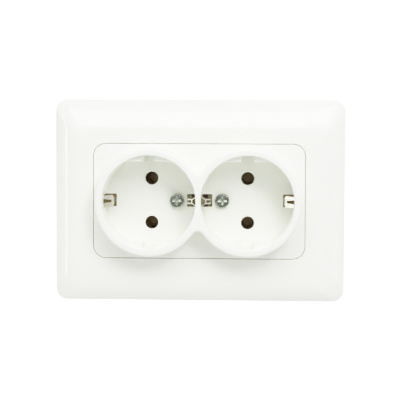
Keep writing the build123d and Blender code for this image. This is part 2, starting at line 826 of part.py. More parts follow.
with BuildPart() as claw_nut_right:
    nut_length = nut_outer + nut_inner
    nut_x = claw_screw_x + (nut_outer - nut_inner) / 2
    with BuildSketch(wall_plane(-nut_front - nut_thickness)):
        with Locations((nut_x, 0)):
            Rectangle(nut_length, 2 * (claw_recess_half - nut_side_play))
        with Locations((claw_screw_x, 0)):
            Circle(claw_screw_radius + thread_clearance, mode=Mode.SUBTRACT)
    extrude(amount=nut_thickness)
    chamfer(claw_nut_right.edges().filter_by(Axis.Z).group_by(Axis.X)[-1], nut_edge_chamfer)

with BuildPart() as claw_nut_left:
    mirror(claw_nut_right.part, about=Plane.YZ)

os.makedirs("parts", exist_ok=True)
pieces = {
    "cover_frame": cover_frame.part,
    "socket_insert": socket_insert.part,
    "cover_screws": cover_screws.part,
    "mounting_strap": mounting_strap.part,
    "earth_bar": earth_bar.part,
    "earth_bridge": earth_bridge.part,
    "contact_lid": contact_lid.part,
    "contact_base": contact_base.part,
    "line_contact_strip": line_contact_strip.part,
    "neutral_contact_strip": neutral_contact_strip.part,
    "block_rivets": block_rivets.part,
    "bar_rivets": bar_rivets.part,
    "claw_left": claw_left.part,
    "claw_right": claw_right.part,
    "claw_screw_left": claw_screw_left.part,
    "claw_screw_right": claw_screw_right.part,
    "claw_nut_left": claw_nut_left.part,
    "claw_nut_right": claw_nut_right.part,
    **terminal_pieces,
}
for name, piece in pieces.items():
    piece.label = name
    export_step(piece, f"parts/{name}.step")
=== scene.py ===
"""Looks of a double earthed wall socket: finer surfaces, finishes, studio light and camera."""

import json
import logging
import math
from abc import ABC, abstractmethod
from dataclasses import dataclass, field
from enum import Enum
from functools import lru_cache
from typing import Any

import bmesh
import bpy
import numpy as np
from mathutils import Matrix, Vector


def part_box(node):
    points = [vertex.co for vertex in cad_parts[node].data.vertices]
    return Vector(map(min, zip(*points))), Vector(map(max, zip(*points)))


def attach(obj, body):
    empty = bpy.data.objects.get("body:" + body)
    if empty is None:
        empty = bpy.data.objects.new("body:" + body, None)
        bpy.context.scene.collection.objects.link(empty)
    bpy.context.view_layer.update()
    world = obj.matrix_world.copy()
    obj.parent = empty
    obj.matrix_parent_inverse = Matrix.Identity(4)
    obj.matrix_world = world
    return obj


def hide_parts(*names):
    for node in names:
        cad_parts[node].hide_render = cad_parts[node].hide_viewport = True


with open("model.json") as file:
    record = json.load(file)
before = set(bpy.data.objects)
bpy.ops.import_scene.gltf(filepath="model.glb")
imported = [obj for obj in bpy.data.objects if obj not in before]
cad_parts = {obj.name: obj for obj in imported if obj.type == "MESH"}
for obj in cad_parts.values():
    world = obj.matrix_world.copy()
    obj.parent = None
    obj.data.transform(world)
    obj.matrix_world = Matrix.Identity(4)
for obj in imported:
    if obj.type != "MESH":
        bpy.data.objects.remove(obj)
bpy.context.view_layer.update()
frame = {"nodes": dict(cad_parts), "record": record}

log = logging.getLogger("socket")

MM = 0.001
TURN = 2 * math.pi
WHITE = "FFFFFF"

# The body that stays still, and the attribute that tells how much painted light, painted shade and wear a
# metal shows at each point
BODY = "socket"
LIGHT_AND_WEAR_ATTRIBUTE = "painted_light_and_wear"

# Points closer than this are one point, and edges with a larger angle than this stay sharp
MERGE_MM = 1e-4
SHARP = math.radians(35)

# Middle of a noise pattern's range
NOISE_MIDDLE = 0.5

# A Mix node names the sockets of all its kinds of value alike, so they go by their places
MIX_SHARE = 0
FIRST_NUMBER = 2
SECOND_NUMBER = 3
FIRST_COLOUR = 6
SECOND_COLOUR = 7
MIXED_COLOUR = 2

# Place of the curve that bends red, green and blue together
COMBINED_CURVE = 3

# Width of the eased edge of each solid that gets one
EASED_MM = {
    "earth_bar": 0.07,
    "earth_bridge": 0.07,
    "mounting_strap": 0.12,
    "contact_base": 0.2,
    "contact_lid": 0.15,
    "line_clamp_plate": 0.1,
    "earth_clamp_plate": 0.1,
    "neutral_clamp_plate": 0.1,
    "block_rivets": 0.25,
    "claw_left": 0.1,
    "claw_right": 0.1,
    "claw_nut_left": 0.15,
    "claw_nut_right": 0.15,
}


# Node and colour helpers


def linear(hex_colour: str) -> tuple[float, float, float, float]:
    """Turns an sRGB hex colour into linear light, by the curve of the sRGB standard.

    Args:
        hex_colour: Six hex digits, red first.

    Returns:
        Linear red, green and blue, and an alpha of one.
    """
    srgb = np.array([int(hex_colour[i : i + 2], 16) for i in (0, 2, 4)]) / 255
    light = np.where(srgb <= 0.04045, srgb / 12.92, ((srgb + 0.055) / 1.055) ** 2.4)
    return (*light.tolist(), 1.0)


def add_node(
    tree: bpy.types.NodeTree,
    kind: str,
    settings: dict[str, Any] | None = None,
    inputs: dict[str | int, Any] | None = None,
) -> bpy.types.Node:
    """Adds one node to a tree, sets it and links it.

    Args:
        tree: The node tree.
        kind: Blender's type name of the node.
        settings: Values for the node's own settings, by name.
        inputs: Values or output sockets for the node's inputs, by name or place.

    Returns:
        The new node.
    """
    node = tree.nodes.new(kind)
    for key, value in (settings or {}).items():
        setattr(node, key, value)
    for key, value in (inputs or {}).items():
        if isinstance(value, bpy.types.NodeSocket):
            tree.links.new(value, node.inputs[key])
        else:
            node.inputs[key].default_value = value
    return node


def per_mm(size: float) -> float:
    """Scale of a noise pattern, in Object coordinates, whose grain is size millimetres across."""
    return 1 / (size * MM)


# Finishes


@dataclass(frozen=True)
class Pattern:
    """What a finish draws: its colour, what its gloss follows, and the height of its relief."""

    colour: bpy.types.NodeSocket
    gloss: bpy.types.NodeSocket
    relief: bpy.types.NodeSocket


@dataclass(frozen=True)
class SurfaceFinish(ABC):
    """What all finishes share: a gloss that follows a pattern, and a fine relief."""

    name: str
    roughness: float
    roughness_spread: float
    relief_depth_mm: float

    @abstractmethod
    def pattern(self, tree: bpy.types.NodeTree, place: bpy.types.NodeSocket) -> Pattern:
        """Adds the nodes of the finish's own pattern."""

    @abstractmethod
    def shader_values(self) -> dict[str, Any]:
        """Values of the shader that are the same all over the surface."""

    def material(self) -> bpy.types.Material:
        """Makes the material's nodes.

        The roughness runs from its middle less the spread to its middle plus the spread, as the pattern
        that the gloss follows runs from 0 to 1.

        Returns:
            The new material.
        """
        material = bpy.data.materials.new(self.name)
        material.use_nodes = True
        tree = material.node_tree
        tree.nodes.clear()
        place = add_node(tree, "ShaderNodeTexCoord").outputs["Object"]
        pattern = self.pattern(tree, place)
        gloss = add_node(
            tree,
            "ShaderNodeMapRange",
            inputs={
                "Value": pattern.gloss,
                "To Min": self.roughness - self.roughness_spread,
                "To Max": self.roughness + self.roughness_spread,
            },
        )
        bump = add_node(
            tree,
            "ShaderNodeBump",
            inputs={"Height": pattern.relief, "Distance": self.relief_depth_mm * MM},
        )
        surface = {
            "Base Color": pattern.colour,
            "Roughness": gloss.outputs[0],
            "Normal": bump.outputs[0],
        }
        shader = add_node(tree, "ShaderNodeBsdfPrincipled", inputs=surface | self.shader_values())
        add_node(tree, "ShaderNodeOutputMaterial", inputs={"Surface": shader.outputs[0]})
        return material


@dataclass(frozen=True)
class MouldedPlastic(SurfaceFinish):
    """Plastic pressed in a steel mould.

    The eye sees one even body colour with a faint cloud of flow, and a gloss that ripples a little,
    because the skin of the moulding shrinks as it cures.
    """

    body: str
    cloud: str
    cloud_mm: float
    ripple_mm: float
    ior: float = 1.55
    cloud_detail: float = 3.0
    ripple_detail: float = 1.0

    def pattern(self, tree: bpy.types.NodeTree, place: bpy.types.NodeSocket) -> Pattern:
        """Adds the cloud, which mixes two colours and varies the gloss, and the ripple of the skin.

        Args:
            tree: The material's node tree.
            place: Object coordinates.

        Returns:
            Colour, gloss and relief.
        """
        cloud = add_node(
            tree,
            "ShaderNodeTexNoise",
            inputs={"Vector": place, "Scale": per_mm(self.cloud_mm), "Detail": self.cloud_detail},
        ).outputs["Fac"]
        colour = add_node(
            tree,
            "ShaderNodeMix",
            {"data_type": "RGBA"},
            {MIX_SHARE: cloud, FIRST_COLOUR: linear(self.body), SECOND_COLOUR: linear(self.cloud)},
        )
        ripple = add_node(
            tree,
            "ShaderNodeTexNoise",
            inputs={"Vector": place, "Scale": per_mm(self.ripple_mm), "Detail": self.ripple_detail},
        )
        return Pattern(colour.outputs[MIXED_COLOUR], cloud, ripple.outputs["Fac"])

    def shader_values(self) -> dict[str, Any]:
        """The plastic's refraction."""
        return {"IOR": self.ior}


@dataclass(frozen=True)
class LitBoard(MouldedPlastic):
    """Opal board lit evenly from below: the eye sees a plain pale floor without shadows."""

    glow: float = 1.8

    def shader_values(self) -> dict[str, Any]:
        """The board's refraction and its glow."""
        glow = {"Emission Color": linear(WHITE), "Emission Strength": self.glow}
        return super().shader_values() | glow


@dataclass(frozen=True)
class WorkedMetal(SurfaceFinish):
    """Metal that was rolled, plated or turned.

    The eye sees fine marks along one direction, a stain that comes and goes over a few millimetres or
    less, and a gloss that is broken where the stain lies. Real marks are too fine to show, so they are
    drawn coarser. A contrast above one breaks the stain into patches. Where a piece has the attribute
    of painted light and wear, a negative value lightens it, as wear or as a painted highlight, and a
    positive one darkens it, as painted shade.
    """

    bright: str
    stain: str
    stain_mm: float
    mark_mm: float
    mark_length_mm: float
    stain_contrast: float = 1.0
    stain_detail: float = 4.0
    mark_detail: float = 2.0

    def pattern(self, tree: bpy.types.NodeTree, place: bpy.types.NodeSocket) -> Pattern:
        """Adds the stain, stretched about its middle by the contrast, the painted light and wear, and the
        marks.

        Stain and painted light and wear are added up, kept between 0 and 1, and mix the two colours.

        Args:
            tree: The material's node tree.
            place: Object coordinates.

        Returns:
            Colour, gloss and relief.
        """
        stain = add_node(
            tree,
            "ShaderNodeTexNoise",
            inputs={"Vector": place, "Scale": per_mm(self.stain_mm), "Detail": self.stain_detail},
        ).outputs["Fac"]
        reach = NOISE_MIDDLE / self.stain_contrast
        mottle = add_node(
            tree,
            "ShaderNodeMapRange",
            inputs={
                "Value": stain,
                "From Min": NOISE_MIDDLE - reach,
                "From Max": NOISE_MIDDLE + reach,
            },
        )
        # Painted light, painted shade and wear, written on the mesh, shift the mix between the two colours
        light_and_wear_share = add_node(tree, "ShaderNodeAttribute", {"attribute_name": LIGHT_AND_WEAR_ATTRIBUTE})
        share = add_node(
            tree,
            "ShaderNodeMath",
            {"operation": "ADD", "use_clamp": True},
            {0: mottle.outputs[0], 1: light_and_wear_share.outputs["Fac"]},
        ).outputs[0]
        colour = add_node(
            tree,
            "ShaderNodeMix",
            {"data_type": "RGBA"},
            {MIX_SHARE: share, FIRST_COLOUR: linear(self.bright), SECOND_COLOUR: linear(self.stain)},
        )
        stretch = (per_mm(self.mark_length_mm), per_mm(self.mark_mm), per_mm(self.mark_mm))
        along = add_node(tree, "ShaderNodeMapping", inputs={"Vector": place, "Scale": stretch})
        marks = add_node(
            tree,
            "ShaderNodeTexNoise",
            inputs={"Vector": along.outputs[0], "Scale": 1.0, "Detail": self.mark_detail},
        )
        return Pattern(colour.outputs[MIXED_COLOUR], stain, marks.outputs["Fac"])

    def shader_values(self) -> dict[str, Any]:
        """Metal all over."""
        return {"Metallic": 1.0}


# Urea moulding, polished mould: warm white, gloss, hardly any cloud
COVER_WHITE = MouldedPlastic(
    name="urea_white_polished_mould",
    body="FCFDF5",
    cloud="FBFCF3",
    roughness=0.12,
    roughness_spread=0.03,
    cloud_mm=9.0,
    ripple_mm=3.0,
    relief_depth_mm=0.004,
)
# Urea moulding, honed mould: nearly the same white, with a softer sheen
INSERT_WHITE = MouldedPlastic(
    name="urea_white_honed_mould",
    body="F9FBF3",
    cloud="F8FAF1",
    roughness=0.36,
    roughness_spread=0.04,
    cloud_mm=9.0,
    ripple_mm=3.0,
    relief_depth_mm=0.004,
)
# Phenolic moulding, blasted mould: dark brown, flecked by its filler, dull
BLOCK_BROWN = MouldedPlastic(
    name="phenolic_brown_blasted_mould",
    body="4A2E20",
    cloud="5E3E2C",
    roughness=0.55,
    roughness_spread=0.1,
    cloud_mm=1.2,
    ripple_mm=0.4,
    relief_depth_mm=0.01,
)
# Opal board, matt: pale, with hardly any gloss
PALE_FLOOR = LitBoard(
    name="opal_board_matt",
    body="F2F2F0",
    cloud="EFEFED",
    roughness=0.8,
    roughness_spread=0.05,
    cloud_mm=60.0,
    ripple_mm=5.0,
    relief_depth_mm=0.01,
)
# Sheet steel, rolled, then zinc-plated and passivated: brownish yellow with darker stains
ZINC_SHEET = WorkedMetal(
    name="steel_sheet_zinc_plated_yellow",
    bright="B9A67C",
    stain="8F7A55",
    roughness=0.34,
    roughness_spread=0.08,
    stain_mm=7.0,
    mark_mm=0.25,
    mark_length_mm=6.0,
    relief_depth_mm=0.002,
)
# Turned screw steel, zinc-plated: light grey green, broken by dull grey patches
ZINC_SCREW = WorkedMetal(
    name="screw_steel_zinc_plated",
    bright="E6ECE0",
    stain="757B73",
    roughness=0.26,
    roughness_spread=0.08,
    stain_mm=0.45,
    mark_mm=0.25,
    mark_length_mm=0.6,
    relief_depth_mm=0.015,
    stain_contrast=5.0,
)
# Spring bronze strip, nickel-plated: warm silver where plugs rub it and where a painted sheen lies, greyish
# tan where it is stained and where painted shade lies under the floor
NICKEL_STRIP = WorkedMetal(
    name="bronze_strip_nickel_plated",
    bright="EBE7D9",
    stain="B0AA8C",
    roughness=0.22,
    roughness_spread=0.06,
    stain_mm=2.5,
    mark_mm=0.15,
    mark_length_mm=3.0,
    relief_depth_mm=0.002,
)
# Brass strip, rolled, inside the contact chambers: tarnished to a greyish yellow
BRASS_STRIP = WorkedMetal(
    name="brass_strip_tarnished",
    bright="DCC8A2",
    stain="B9A480",
    roughness=0.42,
    roughness_spread=0.1,
    stain_mm=2.0,
    mark_mm=0.15,
    mark_length_mm=3.0,
    relief_depth_mm=0.002,
)
# Brass rod, turned or sawn: yellow, a little dull
BRASS_ROD = WorkedMetal(
    name="brass_rod_turned",
    bright="D8B265",
    stain="A98245",
    roughness=0.3,
    roughness_spread=0.1,
    stain_mm=2.0,
    mark_mm=0.15,
    mark_length_mm=3.0,
    relief_depth_mm=0.002,
)
# Sheet steel, hardened and zinc-plated, for the claws: cool light grey with warmer stains
CLAW_SHEET = WorkedMetal(
    name="spring_steel_zinc_plated",
    bright="BFC1C2",
    stain="9C9A90",
    roughness=0.38,
    roughness_spread=0.08,
    stain_mm=3.0,
    mark_mm=0.2,
    mark_length_mm=3.0,
    relief_depth_mm=0.002,
)


class Finish(Enum):
    """The record's material slots."""

    COVER_PLASTIC = "cover_plastic"
    INSERT_PLASTIC = "insert_plastic"
    BLOCK_PLASTIC = "block_plastic"
    STRAP_STEEL = "strap_steel"
    EARTH_METAL = "earth_metal"
    CONTACT_BRASS = "contact_brass"
    SCREW_STEEL = "screw_steel"
    RIVET_BRASS = "rivet_brass"
    CLAW_STEEL = "claw_steel"
    NUT_BRASS = "nut_brass"


MADE_OF: dict[Finish, SurfaceFinish] = {
    Finish.COVER_PLASTIC: COVER_WHITE,
    Finish.INSERT_PLASTIC: INSERT_WHITE,
    Finish.BLOCK_PLASTIC: BLOCK_BROWN,
    Finish.STRAP_STEEL: ZINC_SHEET,
    Finish.EARTH_METAL: NICKEL_STRIP,
    Finish.CONTACT_BRASS: BRASS_STRIP,
    Finish.SCREW_STEEL: ZINC_SCREW,
    Finish.RIVET_BRASS: BRASS_ROD,
    Finish.CLAW_STEEL: CLAW_SHEET,
    Finish.NUT_BRASS: BRASS_ROD,
}


@lru_cache(maxsize=None)
def material_of(made_of: SurfaceFinish) -> bpy.types.Material:
    """The one material of a finish, made when it is first asked for."""
    return made_of.material()


# Shapes


def smooth_step(low: float, high: float, value: np.ndarray) -> np.ndarray:
    """Rises from 0 at low to 1 at high, level at both ends: three squares less two cubes of the share."""
    share = np.clip((value - low) / (high - low), 0, 1)
    return share * share * (3 - 2 * share)


def box_mm(node: str) -> tuple[np.ndarray, np.ndarray]:
    """Lowest and highest corner of a CAD node, in millimetres."""
    low, high = (np.array(corner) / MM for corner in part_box(node))
    return low, high


def mark_light_and_wear(mesh: bpy.types.Mesh, values: np.ndarray) -> None:
    """Writes, at each point of a mesh, how much painted light, painted shade and wear its metal shows, for
    its material to read.
    """
    mesh.attributes.new(LIGHT_AND_WEAR_ATTRIBUTE, "FLOAT", "POINT").data.foreach_set("value", values)


@dataclass
class Patch:
    """A grid of points in millimetres: rows by columns by (right, height from the wall, up).

    The last column always joins the first. A metal piece may have, for each point, a value of painted
    light, painted shade and wear.
    """

    points: np.ndarray
    rows_close: bool = False
    painted_light_and_wear: np.ndarray | None = None

    def faces(self, first: int) -> np.ndarray:
        """Joins each point to the next row and the next column.

        Args:
            first: Number of the patch's first point in the mesh.

        Returns:
            Four point numbers for each face.
        """
        rows, columns = self.points.shape[:2]
        number = first + np.arange(rows * columns).reshape(rows, columns)
        below = np.roll(number, -1, axis=0)
        if not self.rows_close:
            number, below = number[:-1], below[:-1]
        beside, corner = np.roll(number, -1, axis=1), np.roll(below, -1, axis=1)
        return np.stack([number, beside, corner, below], axis=-1).reshape(-1, 4)


class Drive(Enum):
    """How a screw is driven."""

    CROSS = "cross"
    SLOT = "slot"


class Facing(Enum):
    """Which way a screw's head faces: its sign along the height from the wall."""

    ROOM = 1
    WALL_BOX = -1


@dataclass
class Screw:
    """Turned screw with a rolled thread, as rings round its axis, in millimetres."""

    x: float
    z: float
    top: float
    tip: float
    facing: Facing
    drive: Drive
    head_radius: float
    head_height: float
    radius: float
    pitch: float = 0.5
    thread_depth: float = 0.22
    # How much thinner the tip is, and over how many pitches
    tip_taper: float = 0.35
    taper_pitches: float = 2.0
    head_round: float = 0.6
    dome: float = 0.12
    recess: float = 0.3
    # Wings of a cross: length, where they start to rise, and half their width
    wing: float = 2.5
    wing_level: float = 0.8
    wing_half: float = 0.52
    # Round pit in the middle of a cross
    pit: float = 0.4
    pit_radius: float = 0.9
    slot_half: float = 0.42
    slot_edge: float = 0.1
    # Painted light of drive and rim: a negative value is a painted reflection, a positive one painted
    # shade; and the share of the flat radius from which the head is darkened towards its rim as painted
    # shade
    drive_painted_light: float = -0.1
    rim_painted_shade: float = 0.5
    shade_from: float = 0.65
    # Points round the axis, across the head, round its rim, and along each pitch
    columns: int = 144
    top_rows: int = 44
    rim_rows: int = 10
    thread_rows: int = 8

    def drive_share(self, radius: np.ndarray, angle: np.ndarray) -> np.ndarray:
        """Share of the drive's full depth.

        A cross is two V-shaped wings at right angles that rise towards their ends. A slot is a
        straight groove across the head.

        Args:
            radius: Distance from the axis.
            angle: Angle round the axis.

        Returns:
            The share, from 0 beside the drive to 1 at its bottom, for each point.
        """
        right, up = np.abs(radius * np.cos(angle)), np.abs(radius * np.sin(angle))
        if self.drive is Drive.SLOT:
            return 1 - smooth_step(self.slot_half - self.slot_edge, self.slot_half, up)
        wings = [
            (1 - smooth_step(0, self.wing_half, across))
            * (1 - smooth_step(self.wing_level, self.wing, along))
            for along, across in ((right, up), (up, right))
        ]
        return np.maximum(*wings)

    def edge(self, radius: np.ndarray, rise: np.ndarray, angle: np.ndarray) -> np.ndarray:
        """Plain rings of one radius and one height each."""
        return np.stack([radius + 0 * angle, rise + 0 * angle], axis=-1)

    def thread(self, length: float, angle: np.ndarray) -> np.ndarray:
        """Thread from under the head to the tip.

        Its radius falls evenly from crest to root and back once for each pitch along the axis and once
        round it. The thread starts over its first pitch, and the tip is tapered.

        Args:
            length: From the top of the head to the tip.
            angle: Angle of each column round the axis.

        Returns:
            Radius and rise of each point, the rise counted from the top and so below zero.
        """
        rows = int((length - self.head_height) / self.pitch * self.thread_rows)
        along = np.linspace(self.head_height, length, rows)[:, None]
        wave = np.abs(((along / self.pitch - angle / TURN) % 1) - 0.5) * 2
        fade = smooth_step(self.head_height, self.head_height + self.pitch, along)
        taper = smooth_step(length - self.taper_pitches * self.pitch, length, along)
        radius = (self.radius - self.thread_depth * wave * fade) * (1 - self.tip_taper * taper)
        return np.stack([radius, -along + 0 * angle], axis=-1)

    def rings(self) -> Patch:
        """Head, shank and thread as one grid of rings.

        The head is a dome that falls with the square of the radius to a rounded rim, less its drive and
        a round pit in a cross's middle. The drive has painted light of its own, a painted reflection in a
        cross and painted shade in a slot, which comes in with the root of its depth. Beyond a share of its
        radius the head is darkened towards its rim as painted shade, and rim, shank and thread get the same
        darkening.

        Returns:
            The closed surface, with a pole at each end.
        """
        angle = np.linspace(0, TURN, self.columns, endpoint=False)[None, :]
        flat = self.head_radius - self.head_round
        radius = np.linspace(0, flat, self.top_rows)[:, None]
        crown = -self.dome * (radius / flat) ** 2
        share = self.drive_share(radius, angle)
        depth = self.recess * share
        if self.drive is Drive.CROSS:
            depth = depth + self.pit * (1 - smooth_step(0, self.pit_radius, radius))
        top = np.stack([radius + 0 * angle, crown - depth], axis=-1)
        bend = np.linspace(0, math.pi / 2, self.rim_rows)[1:, None]
        rim = self.edge(
            flat + self.head_round * np.sin(bend),
            -self.dome - self.head_round * (1 - np.cos(bend)),
            angle,
        )
        under = self.edge(
            np.array([[self.head_radius], [self.radius]]),
            np.full((2, 1), -self.head_height),
            angle,
        )
        length = abs(self.top - self.tip)
        tip = self.edge(np.zeros((1, 1)), np.full((1, 1), -length), angle)
        grid = np.concatenate([top, rim, under, self.thread(length, angle), tip])
        across, rise = grid[..., 0], grid[..., 1]
        # Painted shade on rim, shank and thread and towards the head's rim, and the drive's painted light
        painted_light_and_wear = np.full(across.shape, self.rim_painted_shade)
        rim_shade = self.rim_painted_shade * smooth_step(self.shade_from * flat, flat, radius)
        painted_light_and_wear[: self.top_rows] = rim_shade + (self.drive_painted_light - rim_shade) * np.sqrt(share)
        turn = angle * self.facing.value
        right = self.x + across * np.cos(turn)
        height = self.top + self.facing.value * rise
        up = self.z + across * np.sin(turn)
        return Patch(np.stack([right, height, up], axis=-1), painted_light_and_wear=painted_light_and_wear)


# Sub-assemblies


class SubAssembly(ABC):
    """What all sub-assemblies share: they build pieces, dress them and let them stand for CAD nodes."""

    @abstractmethod
    def build(self) -> None:
        """Builds and dresses the pieces."""

    def dress(self, piece: bpy.types.Object, finish: Finish) -> None:
        """Gives every face of a piece one finish.

        Args:
            piece: A CAD node or a new piece.
            finish: The finish of its slot in the record.
        """
        if not piece.material_slots:
            piece.data.materials.append(None)
        for slot in piece.material_slots:
            slot.material = material_of(MADE_OF[finish])

    def add_patches(
        self,
        name: str,
        patches: list[Patch],
        finish: Finish,
        nodes: list[str],
        body: str = BODY,
    ) -> None:
        """Makes one piece from grids of points.

        Args:
            name: Name of the piece.
            patches: Its grids, each a closed surface once its poles are merged.
            finish: Its finish.
            nodes: The CAD nodes that it stands for.
            body: The CAD body that it moves with.
        """
        points = np.concatenate([patch.points.reshape(-1, 3) for patch in patches])
        firsts = np.cumsum([0] + [patch.points.size // 3 for patch in patches])
        faces = np.concatenate([patch.faces(first) for patch, first in zip(patches, firsts)])
        mesh = bpy.data.meshes.new(name)
        mesh.from_pydata((points * (MM, -MM, MM)).tolist(), [], faces.tolist())
        if patches[0].painted_light_and_wear is not None:
            mark_light_and_wear(mesh, np.concatenate([patch.painted_light_and_wear.ravel() for patch in patches]))
        self.add_piece(name, mesh, finish, nodes, body, SHARP)

    def add_piece(
        self,
        name: str,
        mesh: bpy.types.Mesh,
        finish: Finish,
        nodes: list[str],
        body: str,
        sharp: float,
    ) -> bpy.types.Object:
        """Merges a mesh, shades it, dresses it and lets it stand for CAD nodes.

        Args:
            name: Name of the piece.
            mesh: Its mesh, in the row frame.
            finish: Its finish.
            nodes: The CAD nodes that it stands for.
            body: The CAD body that it moves with.
            sharp: Edges with a larger angle than this stay sharp.

        Returns:
            The new object.
        """
        work = bmesh.new()
        work.from_mesh(mesh)
        bmesh.ops.remove_doubles(work, verts=work.verts, dist=MERGE_MM * MM)
        bmesh.ops.recalc_face_normals(work, faces=work.faces)
        work.to_mesh(mesh)
        work.free()
        mesh.polygons.foreach_set("use_smooth", np.ones(len(mesh.polygons), bool))
        mesh.set_sharp_from_angle(angle=sharp)
        piece = bpy.data.objects.new(name, mesh)
        bpy.context.scene.collection.objects.link(piece)
        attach(piece, body)
        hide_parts(*nodes)
        self.dress(piece, finish)
        log.info("built %s for %s, %d faces", name, ", ".join(nodes), len(mesh.polygons))
        return piece


@dataclass
class CadNodes(SubAssembly):
    """All CAD nodes, each with the finish of its slot, also where a finer piece stands for it."""

    slots: dict[str, Finish]

    def build(self) -> None:
        """Dresses the nodes."""
        for node, finish in self.slots.items():
            self.dress(frame["nodes"][node], finish)
            log.info("dressed %s in %s", node, MADE_OF[finish].name)


@dataclass
class CoverFrame(SubAssembly):
    """Cushion-shaped frame: one closed profile carried round a rounded rectangle, in millimetres."""

    # Corner radii at the side and at the flat land, height of the side, rounded edges, wall, border's width
    corner: float = 5.0
    land_corner: float = 9.0
    side: float = 3.5
    edge_round: float = 0.9
    back_round: float = 0.25
    wall: float = 2.2
    crown_run: float = 14.6
    # Window for the insert's plate, with a ledge and a skirt behind it
    seam_gap: float = 0.25
    window_chamfer: float = 0.3
    plate_corner: float = 5.2
    plate_thickness: float = 2.0
    ledge: float = 1.25
    skirt_wall: float = 1.5
    skirt_level: float = 3.2
    # Stiffeners: thickness, places, and how deep they are sunk in the walls that they join
    stiffener: float = 1.2
    stiffener_x: float = 24.0
    stiffener_z: float = 13.0
    stiffener_sink: float = 0.2
    # Shares of the border's arc where the hollow and the stiffeners' tops begin
    hollow_from: float = 0.9
    stiffener_from: float = 0.93
    crown_rows: int = 28
    edge_rows: int = 8
    corner_columns: int = 24
    straight_columns: int = 16
    # Worked out from the frame: half sizes of outside and window, height of the face, and the border's arc
    half: np.ndarray = field(init=False)
    window: np.ndarray = field(init=False)
    face: float = field(init=False)
    crown_radius: float = field(init=False)
    crown_tilt: float = field(init=False)

    def __post_init__(self) -> None:
        """Reads the overall sizes from the frame, and works out the arc through side and land."""
        low, high = box_mm("cover_frame")
        self.half = (high - low)[[0, 2]] / 2
        self.face = -low[1]
        plate_low, plate_high = box_mm("socket_insert")
        self.window = (plate_high - plate_low)[[0, 2]] / 2 + self.seam_gap
        rise = self.face - self.side
        self.crown_radius = (self.crown_run**2 + rise**2) / (2 * rise)
        self.crown_tilt = math.asin(self.crown_run / self.crown_radius)

    def crown(self, share: np.ndarray, inset: float) -> np.ndarray:
        """Border's arc, level at the land, moved inwards and back by an inset.

        Its tilt falls evenly from side to land. It lies outside the land by the radius times the tilt's
        sine, and behind it by the radius times one less the tilt's cosine.

        Args:
            share: 0 at the side to 1 at the land.
            inset: Distance from the outer surface, inwards and back.

        Returns:
            Rows of half width, half height, level and corner radius.
        """
        tilt = self.crown_tilt * (1 - share)
        inward = self.crown_run - self.crown_radius * np.sin(tilt) + inset
        level = self.face - self.crown_radius * (1 - np.cos(tilt)) - inset
        corner = self.corner + (self.land_corner - self.corner) * share - inset
        return np.stack([self.half[0] - inward, self.half[1] - inward, level, corner], axis=1)

    def row(self, half: np.ndarray, inset: float, level: float, corner: float) -> np.ndarray:
        """One row of the profile at an inset from a given half size."""
        return np.array([[half[0] - inset, half[1] - inset, level, corner]])

    def profile(self) -> np.ndarray:
        """The closed profile: side, crown, land, window, ledge, skirt, hollow and back edge.

        The edge between side and crown is an arc that starts upright and bends to the crown's tilt.

        Returns:
            Rows of half width, half height, level and corner radius.
        """
        turn = math.pi / 2 - self.crown_tilt
        start = self.side - self.edge_round * math.tan(turn / 2)
        bend = np.linspace(0, turn, self.edge_rows)[:, None]
        inset = self.edge_round * (1 - np.cos(bend))
        edge = np.hstack(
            [
                self.half[0] - inset,
                self.half[1] - inset,
                start + self.edge_round * np.sin(bend),
                self.corner - inset,
            ]
        )
        first = (self.edge_round * math.tan(turn / 2)) / (self.crown_radius * self.crown_tilt)
        crown = self.crown(np.linspace(first, 1, self.crown_rows)[1:], 0)
        window, corner = self.window, self.plate_corner + self.seam_gap
        chamfer, back = self.window_chamfer, self.back_round
        ledge_level = self.face - self.plate_thickness
        hollow = self.crown(np.linspace(self.hollow_from, 0, self.crown_rows), self.wall)
        return np.concatenate(
            [
                self.row(self.half, back, 0, self.corner - back),
                self.row(self.half, 0, back, self.corner),
                edge,
                crown,
                self.row(window, -chamfer, self.face, corner + chamfer),
                self.row(window, 0, self.face - chamfer, corner),
                self.row(window, 0, ledge_level, corner),
                self.row(window, self.ledge, ledge_level, corner - self.ledge),
                self.row(window, self.ledge, self.skirt_level, corner - self.ledge),
                self.row(window, -self.skirt_wall, self.skirt_level, corner + self.skirt_wall),
                self.row(window, -self.skirt_wall, hollow[0, 2], corner + self.skirt_wall),
                hollow,
                self.row(self.half, self.wall, back, self.corner - self.wall),
                self.row(self.half, self.wall + back, 0, self.corner - self.wall),
            ]
        )

    def path(self) -> tuple[np.ndarray, np.ndarray, np.ndarray]:
        """Way round a rounded rectangle, the same for every row.

        Each corner turns through a quarter while its centre stays; each straight moves the centre.

        Returns:
            Place of the corner's centre, right and up, from -1 to 1, and the angle there.
        """
        quarter = np.arange(4)[:, None]
        turn = np.linspace(0, 1, self.corner_columns)[None, :]
        move = np.linspace(0, 1, self.straight_columns)[None, 1:-1]
        sign_x = np.array([1, -1, -1, 1])[:, None]
        sign_z = np.array([1, 1, -1, -1])[:, None]
        next_x, next_z = np.roll(sign_x, -1, 0), np.roll(sign_z, -1, 0)
        x = np.hstack([sign_x + 0 * turn, sign_x + (next_x - sign_x) * move])
        z = np.hstack([sign_z + 0 * turn, sign_z + (next_z - sign_z) * move])
        angle = np.hstack([quarter + turn, quarter + 1 + 0 * move]) * math.pi / 2
        return x.ravel(), z.ravel(), angle.ravel()

    def shell(self) -> Patch:
        """Carries the profile round the path: corner centre plus corner radius at the angle.

        Returns:
            A closed ring with a closed profile.
        """
        half_x, half_z, level, corner = (column[:, None] for column in self.profile().T)
        x, z, angle = (way[None, :] for way in self.path())
        right = x * (half_x - corner) + corner * np.cos(angle)
        up = z * (half_z - corner) + corner * np.sin(angle)
        return Patch(np.stack([right, level + 0 * right, up], axis=-1), rows_close=True)

